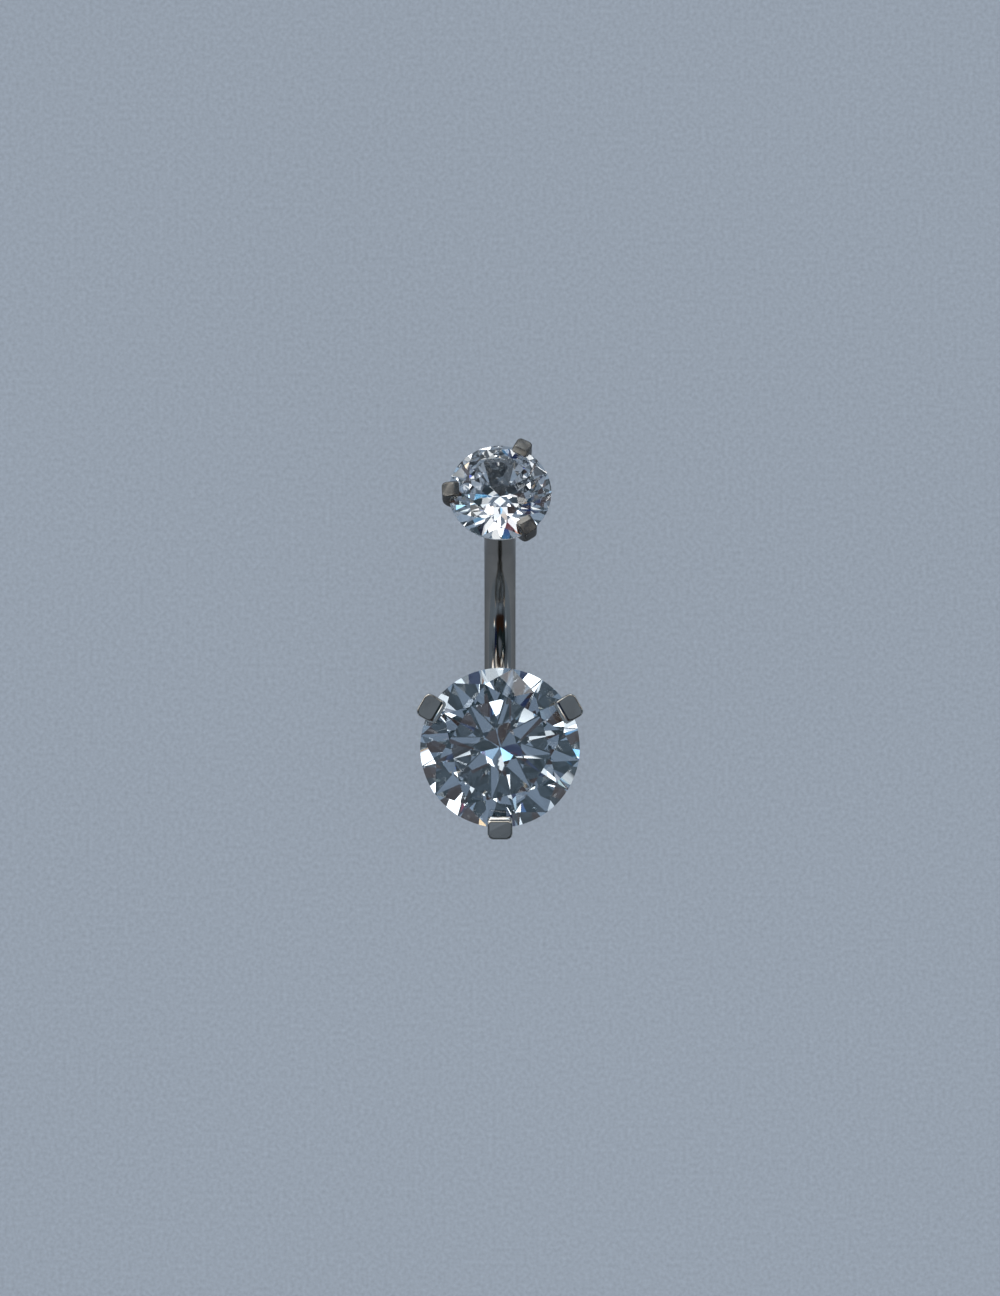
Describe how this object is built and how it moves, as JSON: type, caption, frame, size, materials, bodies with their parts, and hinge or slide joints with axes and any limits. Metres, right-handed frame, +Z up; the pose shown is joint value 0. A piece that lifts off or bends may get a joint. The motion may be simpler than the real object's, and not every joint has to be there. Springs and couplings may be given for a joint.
{
  "type": "navel ring",
  "caption": "Curved navel bar with a large claw-set round stone at its lower end and a small claw-set stone on an unscrewing head at its upper end.",
  "frame": {"origin": "centre of the lower setting's flat back, on the surface that the jewel lies on", "axes": "+Z up through the lower stone's table, +Y along the bar towards the upper stone, +X across"},
  "size_m": [0.0084, 0.0199, 0.0112],
  "materials": {
    "titanium": "polished titanium, fine wear marks",
    "clear_stone": "clear cubic zirconia, polished facets"
  },
  "bodies": {
    "bar": {"bar_and_lower_setting": "titanium", "lower_stone": "clear_stone"},
    "post": {"threaded_post": "titanium"},
    "upper_head": {"upper_setting": "titanium", "upper_stone": "clear_stone"}
  },
  "joints": [
    {"name": "head_rise", "type": "slide", "parent": "bar", "child": "post", "axis": [0, 0.3746, 0.9272], "range_m": [0, 0.0019]},
    {"name": "head_turn", "type": "hinge", "parent": "post", "child": "upper_head", "pos_m": [0, 0.01141, 0.00672], "axis": [0, 0.3746, 0.9272], "range_deg": [0, 2737]}
  ],
  "couplings": [
    {"joint": "head_turn", "follows": "head_rise", "rad_per_m": 25133}
  ]
}
